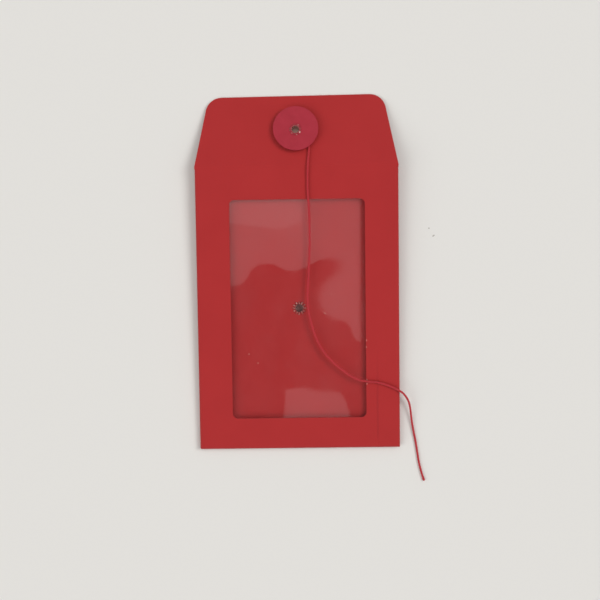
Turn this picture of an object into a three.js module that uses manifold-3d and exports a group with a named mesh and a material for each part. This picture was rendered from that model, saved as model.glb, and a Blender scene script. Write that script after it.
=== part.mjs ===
// Window envelope: a card pocket about the size of a C7 envelope, with a film window in its front
// and a string-and-washer tie. The flap is open and lies in line with the front. Millimetres, +Z up.
// The pocket leans on its bottom edge and the flap's edge comes down to the table again.
import * as THREE from "three";
import { mergeVertices } from "three/addons/utils/BufferGeometryUtils.js";
import Module from "manifold-3d";

// Card and pocket
const CARD = 0.35;
const BODY_WIDTH = 81;
const BODY_HEIGHT = 114;
const POCKET_GAP = 1.8;
const POCKET = POCKET_GAP + 2 * CARD;
const MOUTH_SETBACK = 1;
const MOUTH = BODY_HEIGHT - MOUTH_SETBACK;
const FOLD_CORNER_RADIUS = 0.8;
const BOTTOM_TAB = 12;
const BOTTOM_TAB_INSET = 3.5;

// Flap, measured from its fold
const FLAP_DEPTH = 28.5;
const FLAP_SKEW = 0.011;
const FLAP_TAPER = 0.2;
const FLAP_CORNER_RADIUS = 6.5;
const CREASE_RADIUS = 1.2;

// Window and the film behind it
const WINDOW_WIDTH = 54;
const WINDOW_HEIGHT = 88;
const WINDOW_BOTTOM = 12.6;
const WINDOW_CORNER_RADIUS = 2.2;
const FILM = 0.12;
const FILM_OVERLAP = 3.5;
const FILM_CORNER_RADIUS = 1.5;
const GLUE_LINE = 0.05;

// The side tab fills the front's margin up to a strip that it leaves clear beside the film
const TAB_CLEARANCE = 1;
const SIDE_TAB = (BODY_WIDTH - WINDOW_WIDTH) / 2 - FILM_OVERLAP - TAB_CLEARANCE;
const SIDE_TAB_END = 2.5;

// String
const STRING = 0.9;
const STRING_CLEARANCE = 0.2;
const STRING_SIDES = 8;
const STRING_STEPS = 80;
const STRING_HEIGHT = STRING_CLEARANCE + STRING / 2;
const STRING_ON_TABLE = STRING / 2 + 0.05;

// Washers and eyelets
const WASHER_RADIUS = 9;
const WASHER = 0.9;
const WASHER_EDGE = 0.12;
const WASHER_OFF_CENTRE = new THREE.Vector2(0.1, 0.6);
const FLAP_WASHER_GAP = STRING + 2 * STRING_CLEARANCE;
const POCKET_WASHER_GAP = 0.3;
const BORE_RADIUS = 1.45;
const EYELET_WALL = 0.24;
const BARREL_RADIUS = BORE_RADIUS + EYELET_WALL;
const EYELET_CLEARANCE = 0.15;
const PUNCHED_RADIUS = BARREL_RADIUS + EYELET_CLEARANCE;
const FLANGE_RADIUS = 2.35;
const FLANGE_HEIGHT = 0.34;
const PETALS = 12;
const PETAL_REACH = 2.75;
const PETAL_WIDTH = 0.5;
const PETAL_HEIGHT = 0.5;
const FLAP_EYELET = new THREE.Vector2(-0.2, 14);
const POCKET_EYELET = new THREE.Vector2(0.4, BODY_HEIGHT / 2);

// Rest pose: how far the fold stands above the table, and the slopes that follow from it
const FOLD_RISE = 3.2;
const LEAN = Math.asin(FOLD_RISE / BODY_HEIGHT);
const FLAP_REACH = FLAP_DEPTH + FLAP_SKEW * (BODY_WIDTH / 2 - FLAP_TAPER * FLAP_DEPTH);
const FLAP_SLOPE = Math.asin((FOLD_RISE + POCKET) / FLAP_REACH);
const FOLD_ANGLE = LEAN + FLAP_SLOPE;

const wasm = await Module();
wasm.setup();

/** A closed three.js geometry as a manifold solid. */
function solidOf(geometry) {
  const bare = geometry.clone();
  bare.deleteAttribute("normal");
  bare.deleteAttribute("uv");
  const welded = mergeVertices(bare, 1e-4);
  return new wasm.Manifold(
    new wasm.Mesh({
      numProp: 3,
      vertProperties: Float32Array.from(welded.attributes.position.array),
      triVerts: Uint32Array.from(welded.index.array),
    }),
  );
}

/** A manifold solid as a flat-shaded three.js geometry. */
function geometryOf(solid) {
  const mesh = solid.getMesh();
  const geometry = new THREE.BufferGeometry();
  geometry.setAttribute("position", new THREE.BufferAttribute(mesh.vertProperties, 3));
  geometry.setIndex(new THREE.BufferAttribute(mesh.triVerts, 1));
  const flat = geometry.toNonIndexed();
  flat.computeVertexNormals();
  return flat;
}

const join = (...geometries) => geometryOf(wasm.Manifold.union(geometries.map(solidOf)));
const common = (...geometries) => geometryOf(wasm.Manifold.intersection(geometries.map(solidOf)));
const cut = (geometry, ...tools) =>
  geometryOf(wasm.Manifold.difference([geometry, ...tools].map(solidOf)));

/** A polygon whose corners are rounded by tangent arcs: corners is a list of [x, y, radius]. */
function roundedOutline(corners, Kind = THREE.Shape) {
  const outline = new Kind();
  corners.forEach(([x, y, radius], i) => {
    const corner = new THREE.Vector2(x, y);
    const before = new THREE.Vector2(...corners.at(i - 1)).sub(corner).normalize();
    const after = new THREE.Vector2(...corners[(i + 1) % corners.length]).sub(corner).normalize();
    const half = Math.acos(before.dot(after)) / 2;
    const start = corner.clone().addScaledVector(before, radius / Math.tan(half));
    if (i === 0) outline.moveTo(start.x, start.y);
    else outline.lineTo(start.x, start.y);
    if (radius === 0) return;
    const end = corner.clone().addScaledVector(after, radius / Math.tan(half));
    const middle = before.clone().add(after).setLength(radius / Math.sin(half)).add(corner);
    const from = start.sub(middle).angle();
    const to = end.sub(middle).angle();
    outline.absarc(middle.x, middle.y, radius, from, to, before.cross(after) > 0);
  });
  outline.closePath();
  return outline;
}

/** A rectangle's four corners for roundedOutline, counter-clockwise. */
function rectangle(left, bottom, right, top, radius) {
  return [
    [left, bottom, radius],
    [right, bottom, radius],
    [right, top, radius],
    [left, top, radius],
  ];
}

/** A plan outline extruded upwards from one height to another. */
function raised(shape, bottom, top, curveSegments = 8) {
  const options = { depth: top - bottom, bevelEnabled: false, curveSegments };
  return new THREE.ExtrudeGeometry(shape, options).translate(0, 0, bottom);
}

/** A section drawn in X and Z, extruded along Y. */
function alongY(shape, front, back, curveSegments = 8) {
  const turn = new THREE.Matrix4().makeBasis(
    new THREE.Vector3(1, 0, 0),
    new THREE.Vector3(0, 0, 1),
    new THREE.Vector3(0, -1, 0),
  );
  const options = { depth: back - front, bevelEnabled: false, curveSegments };
  return new THREE.ExtrudeGeometry(shape, options).applyMatrix4(turn).translate(0, back, 0);
}

/** A section drawn in Y and Z, extruded along X to both sides of the middle. */
function alongX(shape, width, curveSegments = 8) {
  const turn = new THREE.Matrix4().makeBasis(
    new THREE.Vector3(0, 1, 0),
    new THREE.Vector3(0, 0, 1),
    new THREE.Vector3(1, 0, 0),
  );
  const options = { depth: width, bevelEnabled: false, curveSegments };
  return new THREE.ExtrudeGeometry(shape, options).applyMatrix4(turn).translate(-width / 2, 0, 0);
}

/** The frame of the flap's outer face: its origin is on the fold, in the pocket's frame. */
function flapFrame() {
  const turn = new THREE.Matrix4().makeRotationX(-FOLD_ANGLE);
  return turn.setPosition(0, BODY_HEIGHT, POCKET);
}

/** The pocket's section across its width: the card goes round both side folds. */
function sideFolds(inset) {
  const radius = POCKET / 2 - inset;
  const flat = BODY_WIDTH / 2 - POCKET / 2;
  const section = new THREE.Shape();
  section.absarc(flat, POCKET / 2, radius, -Math.PI / 2, Math.PI / 2);
  section.absarc(-flat, POCKET / 2, radius, Math.PI / 2, Math.PI * 1.5);
  section.closePath();
  return section;
}

/** The pocket's section along its height: the front goes round the bottom fold to its tab. */
function bottomFold(inset) {
  const radius = (POCKET + CARD) / 2;
  const middle = POCKET - radius;
  const section = new THREE.Shape();
  section.moveTo(BODY_HEIGHT + 1, POCKET - inset);
  section.lineTo(radius, POCKET - inset);
  section.absarc(radius, middle, radius - inset, Math.PI / 2, Math.PI * 1.5);
  section.lineTo(BODY_HEIGHT + 1, inset - CARD);
  section.closePath();
  return section;
}

/** The pocket without its flap: front, two side folds, back, glued side tab and bottom tab. */
function pocketTube() {
  const half = BODY_WIDTH / 2;
  const nipped = roundedOutline([
    [-half, 0, FOLD_CORNER_RADIUS],
    [half, 0, FOLD_CORNER_RADIUS / 2],
    [half, BODY_HEIGHT, 0],
    [-half, BODY_HEIGHT, 0],
  ]);
  const outside = alongX(bottomFold(0), BODY_WIDTH + 1);
  const walls = common(
    alongY(sideFolds(0), 0, MOUTH),
    outside,
    raised(nipped, -1, POCKET + 1),
  );
  const hollow = common(
    alongY(sideFolds(CARD), 0, BODY_HEIGHT - CREASE_RADIUS / 2),
    alongX(bottomFold(CARD), BODY_WIDTH),
  );
  const sideTab = roundedOutline([
    [half - SIDE_TAB, 1 + SIDE_TAB_END, 0],
    [half - SIDE_TAB / 2, 1, 0],
    [half, 1, 0],
    [half, MOUTH - 1, 0],
    [half - SIDE_TAB / 2, MOUTH - 1, 0],
    [half - SIDE_TAB, MOUTH - 1 - SIDE_TAB_END, 0],
  ]);
  const bottomTab = roundedOutline([
    [-half + BOTTOM_TAB_INSET / 2, 0, 0],
    [half - BOTTOM_TAB_INSET / 2, 0, 0],
    [half - BOTTOM_TAB_INSET, BOTTOM_TAB, 1],
    [-half + BOTTOM_TAB_INSET, BOTTOM_TAB, 1],
  ]);
  return join(
    cut(walls, hollow),
    common(walls, raised(sideTab, POCKET - 2 * CARD, POCKET + 1)),
    common(outside, raised(bottomTab, -CARD, CARD)),
  );
}

/** The flap's outline in its own frame, with a strip before the fold that joins the front. */
function flapOutline() {
  const half = BODY_WIDTH / 2;
  const flat = half - POCKET / 2;
  const shoulder = -MOUTH_SETBACK;
  const tip = half - FLAP_TAPER * FLAP_DEPTH;
  return roundedOutline([
    [flat, shoulder - 2, 0],
    [flat, shoulder, 0],
    [half, shoulder, 0],
    [half, 0, 0],
    [tip, FLAP_DEPTH + FLAP_SKEW * tip, FLAP_CORNER_RADIUS],
    [-tip, FLAP_DEPTH - FLAP_SKEW * tip, FLAP_CORNER_RADIUS],
    [-half, 0, 0],
    [-half, shoulder, 0],
    [-flat, shoulder, 0],
    [-flat, shoulder - 2, 0],
  ]);
}

/** The front's card going over the crease and down to the table, cut to the flap's outline. */
function flapSheet() {
  const bend = BODY_HEIGHT - CREASE_RADIUS * Math.tan(FOLD_ANGLE / 2);
  const middle = POCKET - CREASE_RADIUS;
  const start = BODY_HEIGHT - MOUTH_SETBACK - 4;
  const quarter = Math.PI / 2;
  const reach = FLAP_DEPTH + 4;
  const end = new THREE.Vector2(
    BODY_HEIGHT + reach * Math.cos(FOLD_ANGLE),
    POCKET - reach * Math.sin(FOLD_ANGLE),
  );
  const section = new THREE.Shape();
  section.moveTo(start, POCKET - CARD);
  section.lineTo(bend, POCKET - CARD);
  section.absarc(bend, middle, CREASE_RADIUS - CARD, quarter, quarter - FOLD_ANGLE, true);
  section.lineTo(end.x - CARD * Math.sin(FOLD_ANGLE), end.y - CARD * Math.cos(FOLD_ANGLE));
  section.lineTo(end.x, end.y);
  section.absarc(bend, middle, CREASE_RADIUS, quarter - FOLD_ANGLE, quarter);
  section.lineTo(start, POCKET);
  section.closePath();
  const outline = raised(flapOutline(), -3, 3, 16).applyMatrix4(flapFrame());
  return common(alongX(section, BODY_WIDTH + 2, 6), outline);
}

/** One folded sheet: the pocket and its flap, with the window and the eyelet holes punched. */
function cardSheet() {
  const half = WINDOW_WIDTH / 2;
  const top = WINDOW_BOTTOM + WINDOW_HEIGHT;
  const window = roundedOutline(
    rectangle(-half, WINDOW_BOTTOM, half, top, WINDOW_CORNER_RADIUS),
  );
  const hole = () => new THREE.Shape().absarc(0, 0, PUNCHED_RADIUS, 0, Math.PI * 2);
  const flapHole = raised(hole(), -2, 2, 16).translate(FLAP_EYELET.x, FLAP_EYELET.y, 0);
  const pocketHole = raised(hole(), -1, 1, 16).translate(POCKET_EYELET.x, POCKET_EYELET.y, 0);
  return cut(
    join(pocketTube(), flapSheet()),
    raised(window, POCKET_GAP, POCKET + 1),
    flapHole.applyMatrix4(flapFrame()),
    pocketHole,
  );
}

/** The clear film glued behind the window, short of the glued side tab. */
function windowFilm() {
  const half = WINDOW_WIDTH / 2 + FILM_OVERLAP;
  const bottom = WINDOW_BOTTOM - FILM_OVERLAP;
  const top = WINDOW_BOTTOM + WINDOW_HEIGHT + FILM_OVERLAP;
  const outline = roundedOutline(rectangle(-half, bottom, half, top, FILM_CORNER_RADIUS));
  const upper = POCKET - CARD - GLUE_LINE;
  return raised(outline, upper - FILM, upper);
}

/** A punched card disc around the origin, from the height 0 upwards, its hole off centre. */
function washerDisc() {
  const disc = new THREE.Shape();
  const { x, y } = WASHER_OFF_CENTRE;
  disc.absarc(x, y, WASHER_RADIUS - WASHER_EDGE, 0, Math.PI * 2);
  const hole = new THREE.Path();
  hole.absarc(0, 0, PUNCHED_RADIUS + WASHER_EDGE, 0, Math.PI * 2, true);
  disc.holes.push(hole);
  const options = {
    depth: WASHER - 2 * WASHER_EDGE,
    bevelThickness: WASHER_EDGE,
    bevelSize: WASHER_EDGE,
    bevelSegments: 2,
    curveSegments: 28,
  };
  return new THREE.ExtrudeGeometry(disc, options).translate(0, 0, WASHER_EDGE);
}

/** One tongue of the clinched end: the barrel's wall curled outwards and down on the card. */
function petal(start) {
  const curl = (PETAL_REACH - BORE_RADIUS) / 2;
  const section = new THREE.Shape();
  section.moveTo(BORE_RADIUS, start - EYELET_WALL);
  section.lineTo(BORE_RADIUS, start);
  section.absellipse(PETAL_REACH - curl, start, curl, PETAL_HEIGHT, Math.PI, 0, true);
  section.absellipse(
    PETAL_REACH - curl,
    start,
    curl - EYELET_WALL,
    PETAL_HEIGHT - EYELET_WALL,
    0,
    Math.PI,
  );
  section.lineTo(BORE_RADIUS + EYELET_WALL, start - EYELET_WALL);
  section.closePath();
  const turn = new THREE.Matrix4().makeBasis(
    new THREE.Vector3(1, 0, 0),
    new THREE.Vector3(0, 0, 1),
    new THREE.Vector3(0, -1, 0),
  );
  const options = { depth: PETAL_WIDTH, bevelEnabled: false, curveSegments: 5 };
  return new THREE.ExtrudeGeometry(section, options)
    .translate(0, 0, -PETAL_WIDTH / 2)
    .applyMatrix4(turn);
}

/**
 * An eyelet on the Z axis: its rolled flange lies below the height 0, its barrel rises through
 * what it clamps, and its end is split into petals that start at the given height.
 */
function eyelet(clinch) {
  const roll = (FLANGE_RADIUS - BORE_RADIUS) / 2;
  const profile = new THREE.Path();
  profile.moveTo(BORE_RADIUS, clinch);
  profile.lineTo(BORE_RADIUS, 0);
  profile.absellipse(BORE_RADIUS + roll, 0, roll, FLANGE_HEIGHT, Math.PI, Math.PI * 2);
  profile.lineTo(BARREL_RADIUS, 0);
  profile.lineTo(BARREL_RADIUS, clinch);
  profile.closePath();
  const barrel = new THREE.LatheGeometry(profile.getPoints(5), 36).rotateX(Math.PI / 2);
  const petals = Array.from({ length: PETALS }, (_, i) =>
    petal(clinch).rotateZ((i * Math.PI * 2) / PETALS),
  );
  return join(barrel, ...petals);
}

/** Points of the string's loop around the flap eyelet's barrel, in the flap's frame. */
function stringLoop() {
  const radius = BARREL_RADIUS + STRING / 2 + 0.5;
  const exit = THREE.MathUtils.degToRad(20);
  const wrap = THREE.MathUtils.degToRad(285);
  const stops = 9;
  return Array.from({ length: stops + 1 }, (_, i) => {
    const angle = exit + wrap * (1 - i / stops);
    return new THREE.Vector3(
      FLAP_EYELET.x + radius * Math.cos(angle),
      FLAP_EYELET.y + radius * Math.sin(angle),
      STRING_HEIGHT,
    );
  });
}

/** The string's route: over the flap, the front, the film and the right edge to the table. */
function stringRoute(pocketFrame) {
  const onFlap = [
    ...stringLoop(),
    new THREE.Vector3(4, 10.3, STRING_HEIGHT),
    new THREE.Vector3(5.1, 7.2, STRING_HEIGHT),
    new THREE.Vector3(4.8, 3.2, STRING_HEIGHT),
  ].map((point) => point.applyMatrix4(flapFrame()));
  const card = POCKET + STRING_HEIGHT;
  const film = POCKET - CARD - GLUE_LINE + STRING_HEIGHT;
  const onFront = [
    [4.5, 113.6, card + 0.1],
    [4.35, 108, card],
    [4.4, 102.5, card],
    [4.75, 97, film + 0.12],
    [4.95, 88, film],
    [4.8, 80, film],
    [4.25, 70, film],
    [3.8, 61, film],
    [4.25, 55.3, film],
    [6.6, 46.2, film],
    [10.1, 39.3, film],
    [13.7, 35.2, film],
    [17, 32.3, film],
    [20.4, 29.7, film + 0.05],
    [24.2, 27.9, card - 0.02],
    [27.6, 27.2, card + 0.03],
    [30.9, 26.9, card],
    [33.7, 26.2, card],
    [36.5, 25.2, card],
    [39.4, 23.8, card + 0.03],
  ].map(([x, y, z]) => new THREE.Vector3(x, y, z));
  const edge = BODY_WIDTH / 2;
  const overEdge = [
    [edge + 1.1, 22.3, POCKET + CARD + 1.15],
    [edge + 2.4, 20.7, POCKET + CARD + 0.55],
    [edge + 3.5, 18.7, POCKET + CARD - 0.2],
    [edge + 4.15, 16.2, 2],
    [edge + 4.55, 13.3, 1.45],
    [edge + 4.95, 10, 1],
    [edge + 5.6, 6.2, 0.65],
    [edge + 6.4, 2, STRING_ON_TABLE],
    [edge + 7.1, -2.6, STRING_ON_TABLE],
    [edge + 7.8, -7, STRING_ON_TABLE],
    [edge + 8.75, -10.9, STRING_ON_TABLE],
    [edge + 9.8, -14.2, STRING_ON_TABLE],
  ].map(([x, y, z]) => new THREE.Vector3(x, y, z));
  return [...[...onFlap, ...onFront].map((point) => point.applyMatrix4(pocketFrame)), ...overEdge];
}

/** The string as a plain eight-sided tube along its route. */
function stringTube(route) {
  const section = new THREE.Shape();
  for (let i = 0; i < STRING_SIDES; i += 1) {
    const angle = (i * Math.PI * 2) / STRING_SIDES;
    const corner = [(STRING / 2) * Math.cos(angle), (STRING / 2) * Math.sin(angle)];
    if (i === 0) section.moveTo(...corner);
    else section.lineTo(...corner);
  }
  section.closePath();
  return new THREE.ExtrudeGeometry(section, {
    steps: STRING_STEPS,
    extrudePath: new THREE.CatmullRomCurve3(route),
  });
}

/** A named mesh with a material of its own. */
function piece(name, geometry, color, roughness, metalness = 0) {
  const material = new THREE.MeshStandardMaterial({ color, roughness, metalness });
  const mesh = new THREE.Mesh(geometry, material);
  mesh.name = name;
  return mesh;
}

/** The flap's washer and eyelet, in the flap's frame: the string has room beneath the washer. */
function flapTie() {
  const top = FLAP_WASHER_GAP + WASHER;
  const disc = washerDisc().translate(0, 0, FLAP_WASHER_GAP);
  const rivet = eyelet(top + CARD).rotateX(Math.PI).translate(0, 0, top);
  return [
    piece("flap_washer", disc, 0xa83643, 0.85),
    piece("flap_eyelet", rivet, 0x9c2f38, 0.4, 0.6),
  ].map((mesh) => {
    mesh.position.set(FLAP_EYELET.x, FLAP_EYELET.y, 0);
    return mesh;
  });
}

/** The second washer and eyelet, on the outside of the pocket's back, in the pocket's frame. */
function pocketTie() {
  const low = -POCKET_WASHER_GAP - WASHER;
  const disc = washerDisc().translate(0, 0, low);
  const rivet = eyelet(CARD - low).translate(0, 0, low);
  return [
    piece("pocket_washer", disc, 0xa83643, 0.85),
    piece("pocket_eyelet", rivet, 0xc9b8b2, 0.35, 0.8),
  ].map((mesh) => {
    mesh.position.set(POCKET_EYELET.x, POCKET_EYELET.y, 0);
    return mesh;
  });
}

/** The whole envelope, resting on the table at the height 0 and centred on its own box. */
function envelope() {
  const flap = new THREE.Group();
  flap.applyMatrix4(flapFrame());
  flap.add(...flapTie());

  const film = piece("window_film", windowFilm(), 0xe8e4e2, 0.12);
  film.material.transparent = true;
  film.material.opacity = 0.25;

  const pocket = new THREE.Group();
  pocket.add(piece("envelope_card", cardSheet(), 0xb03434, 0.8), film, flap, ...pocketTie());
  pocket.rotation.x = LEAN;
  const low = new THREE.Box3().setFromObject(pocket, true).min;
  pocket.position.set(0, -low.y, -low.z);
  pocket.updateMatrixWorld(true);

  const root = new THREE.Group();
  root.name = "window_envelope";
  root.add(pocket, piece("string", stringTube(stringRoute(pocket.matrixWorld)), 0xa62d3c, 0.75));
  root.position.y = -new THREE.Box3().setFromObject(pocket, true).max.y / 2;
  return root;
}

export default envelope();
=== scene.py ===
"""Looks of the window envelope: red card, clear film, fibre washers, eyelets and a waxed string."""
import logging
import math
import random
from dataclasses import dataclass, field
from enum import Enum

import bmesh
import bpy
from mathutils import Matrix, Vector, noise


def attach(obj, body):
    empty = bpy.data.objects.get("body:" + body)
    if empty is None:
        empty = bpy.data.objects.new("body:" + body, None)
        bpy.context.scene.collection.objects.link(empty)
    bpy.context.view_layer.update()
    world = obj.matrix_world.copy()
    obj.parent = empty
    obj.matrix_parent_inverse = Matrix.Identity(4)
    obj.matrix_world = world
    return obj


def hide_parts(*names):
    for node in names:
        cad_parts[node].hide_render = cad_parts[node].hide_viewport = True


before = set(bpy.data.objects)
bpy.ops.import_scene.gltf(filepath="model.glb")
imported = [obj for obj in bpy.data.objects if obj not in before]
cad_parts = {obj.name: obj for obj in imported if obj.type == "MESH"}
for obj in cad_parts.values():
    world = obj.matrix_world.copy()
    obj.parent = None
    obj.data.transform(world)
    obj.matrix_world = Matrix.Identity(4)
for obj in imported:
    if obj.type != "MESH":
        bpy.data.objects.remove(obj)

LOG = logging.getLogger("window_envelope")
MM = 0.001
SEED = 7
POCKET_HEIGHT = 114
FOLD_RISE = 3.2
FILM_TOP = 2.1

Point = tuple[float, float, float]
Flat = tuple[float, float]
Span = tuple[float, float]
Colour = tuple[float, float, float]
Socket = bpy.types.NodeSocket


class Node(str, Enum):
    """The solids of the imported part."""

    CARD = "envelope_card"
    FILM = "window_film"
    FLAP_WASHER = "flap_washer"
    POCKET_WASHER = "pocket_washer"
    FLAP_EYELET = "flap_eyelet"
    POCKET_EYELET = "pocket_eyelet"
    STRING = "string"


class Slot(str, Enum):
    """The names of the record's material slots for the film and the string."""

    FILM = "clear_film"
    STRING = "string"


class Step(str, Enum):
    """The steps of arithmetic that the finishes use."""

    ADD = "ADD"
    SUBTRACT = "SUBTRACT"
    MULTIPLY = "MULTIPLY"
    MAXIMUM = "MAXIMUM"
    ABSOLUTE = "ABSOLUTE"


class Mix(Enum):
    """What a mix blends, with the places of its two inputs and its output."""

    COLOUR = ("RGBA", 6, 7, 2)
    NUMBER = ("FLOAT", 2, 3, 0)


class Ray(str, Enum):
    """The kinds of ray that the room treats in their own way."""

    GLOSSY = "Is Glossy Ray"
    CAMERA = "Is Camera Ray"


def solid(node: Node) -> bpy.types.Object:
    """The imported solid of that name."""
    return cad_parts[node.value]


def linear(red: int, green: int, blue: int) -> Colour:
    """Turns an 8-bit display colour into a linear one.

    Args:
        red: red from 0 to 255.
        green: green from 0 to 255.
        blue: blue from 0 to 255.

    Returns:
        The linear colour.
    """
    def channel(value: int) -> float:
        """One channel, by the display curve."""
        share = value / 255
        return share / 12.92 if share <= 0.04045 else ((share + 0.055) / 1.055) ** 2.4

    return channel(red), channel(green), channel(blue)


@dataclass(frozen=True)
class Grain:
    """A noise: features to a metre, octaves, how strong the small ones are, and its stretch."""

    scale: float
    detail: float = 3.0
    roughness: float = 0.55
    stretch: Point | None = None


@dataclass(frozen=True)
class Relief:
    """A bump: what a height of 1 measures, in metres, and how much of it shows."""

    depth: float
    strength: float


@dataclass
class Tree:
    """A material or world with its node tree, and short ways to fill it."""

    owner: bpy.types.Material | bpy.types.World

    @classmethod
    def material(cls, name: str) -> "Tree":
        """A new empty material.

        Args:
            name: the material's name.

        Returns:
            Its tree.
        """
        made = bpy.data.materials.new(name)
        made.use_nodes = True
        made.node_tree.nodes.clear()
        return cls(made)

    def add(self, kind: str, **values: object) -> bpy.types.Node:
        """Adds a node.

        Args:
            kind: the node's type without its ShaderNode prefix.
            values: attributes of the node, or inputs by name with spaces as underscores.

        Returns:
            The node.
        """
        made = self.owner.node_tree.nodes.new("ShaderNode" + kind)
        for name, value in values.items():
            if hasattr(made, name):
                setattr(made, name, value)
            else:
                made.inputs[name.replace("_", " ")].default_value = value
        return made

    def link(self, source: Socket, target: Socket) -> None:
        """Joins an output to an input."""
        self.owner.node_tree.links.new(source, target)

    def feed(self, value: Socket | Colour | float, target: Socket) -> None:
        """Joins an output to an input, or sets a colour or a number on it.

        Args:
            value: the output, colour or number.
            target: the input.
        """
        if isinstance(value, bpy.types.NodeSocket):
            self.link(value, target)
        else:
            target.default_value = (*value, 1) if isinstance(value, tuple) else value

    def place(self) -> Socket:
        """The place on the object, in metres in the part's frame."""
        return self.add("TexCoord").outputs["Object"]

    def axes(self, source: Socket) -> bpy.types.bpy_prop_collection:
        """The X, Y and Z of a place.

        Args:
            source: the place.

        Returns:
            Its three numbers, by their names.
        """
        made = self.add("SeparateXYZ")
        self.link(source, made.inputs[0])
        return made.outputs

    def stretched(self, source: Socket, scale: Point) -> Socket:
        """A place scaled by axis.

        Args:
            source: the place.
            scale: factors along X, Y and Z.

        Returns:
            The scaled place.
        """
        made = self.add("Mapping", Scale=scale)
        self.link(source, made.inputs["Vector"])
        return made.outputs["Vector"]

    def grain(self, source: Socket, grain: Grain) -> Socket:
        """Noise from 0 to 1.

        Args:
            source: the place it is read at.
            grain: its pattern.

        Returns:
            The noise.
        """
        if grain.stretch:
            source = self.stretched(source, grain.stretch)
        made = self.add("TexNoise", Scale=grain.scale, Detail=grain.detail,
                        Roughness=grain.roughness)
        self.link(source, made.inputs["Vector"])
        return made.outputs["Fac"]

    def spread(self, source: Socket, span: Span, to: Span = (0.0, 1.0)) -> Socket:
        """Maps a value from one span to another, smoothly and clamped.

        Args:
            source: the value.
            span: where the first span starts and ends.
            to: the results at those two.

        Returns:
            The mapped value.
        """
        made = self.add("MapRange", interpolation_type="SMOOTHSTEP", From_Min=span[0],
                        From_Max=span[1], To_Min=to[0], To_Max=to[1])
        self.link(source, made.inputs["Value"])
        return made.outputs["Result"]

    def maths(self, step: Step, first: Socket | float, second: Socket | float = 0.0) -> Socket:
        """One step of arithmetic.

        Args:
            step: what is done.
            first: a socket or a number.
            second: a socket or a number.

        Returns:
            The result.
        """
        made = self.add("Math", operation=step.value)
        self.feed(first, made.inputs[0])
        self.feed(second, made.inputs[1])
        return made.outputs[0]

    def plus(self, first: Socket | float, second: Socket | float) -> Socket:
        """The sum of two."""
        return self.maths(Step.ADD, first, second)

    def less(self, first: Socket | float, second: Socket | float) -> Socket:
        """The first less the second."""
        return self.maths(Step.SUBTRACT, first, second)

    def times(self, first: Socket | float, second: Socket | float) -> Socket:
        """The product of two."""
        return self.maths(Step.MULTIPLY, first, second)

    def near(self, source: Socket, centre: Point, reach: Span, flat: bool = False) -> Socket:
        """How near a place is to a point, from 1 close by to 0 outside.

        Args:
            source: the place.
            centre: the point, in metres.
            reach: up to the first distance the result is 1, from the second one on it is 0.
            flat: whether the height is left out.

        Returns:
            The nearness.
        """
        made = self.add("VectorMath", operation="DISTANCE")
        if flat:
            source, centre = self.stretched(source, (1, 1, 0)), (centre[0], centre[1], 0)
        self.link(source, made.inputs[0])
        made.inputs[1].default_value = centre
        return self.spread(made.outputs["Value"], reach, (1.0, 0.0))

    def mix(self, kind: Mix, share: Socket, first: Socket | Colour | float,
            second: Socket | Colour | float) -> Socket:
        """A blend of two colours or two numbers.

        Args:
            kind: what is blended.
            share: 0 gives the first and 1 the second.
            first: a socket, a linear colour or a number.
            second: a socket, a linear colour or a number.

        Returns:
            The blend.
        """
        data_type, first_at, second_at, result_at = kind.value
        made = self.add("Mix", data_type=data_type)
        for index, value in ((0, share), (first_at, first), (second_at, second)):
            self.feed(value, made.inputs[index])
        return made.outputs[result_at]

    def bump(self, height: Socket, relief: Relief, after: Socket | None = None) -> Socket:
        """A bumped normal.

        Args:
            height: the height from 0 to 1.
            relief: how deep it is.
            after: a normal that this one adds to.

        Returns:
            The normal.
        """
        made = self.add("Bump", Distance=relief.depth, Strength=relief.strength)
        self.link(height, made.inputs["Height"])
        if after is not None:
            self.link(after, made.inputs["Normal"])
        return made.outputs["Normal"]

    def layered(self, share: Socket, under: Socket, over: Socket) -> Socket:
        """One shader laid over another.

        Args:
            share: how much of the upper one shows.
            under: the lower shader.
            over: the upper shader.

        Returns:
            The shader.
        """
        made = self.add("MixShader")
        for source, target in zip((share, under, over), made.inputs):
            self.link(source, target)
        return made.outputs[0]

    def surface(self, shader: bpy.types.Node, **inputs: Socket) -> bpy.types.Material:
        """Feeds the shader that a material ends in, and ends the tree.

        Args:
            shader: the shader's node.
            inputs: what its inputs take, by name with spaces as underscores.

        Returns:
            The material.
        """
        for name, source in inputs.items():
            self.link(source, shader.inputs[name.replace("_", " ")])
        return self.finish(shader.outputs[0])

    def finish(self, shader: Socket) -> bpy.types.Material:
        """Ends the tree in its output, and gives the material."""
        self.link(shader, self.add("OutputMaterial").inputs["Surface"])
        return self.owner


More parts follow.
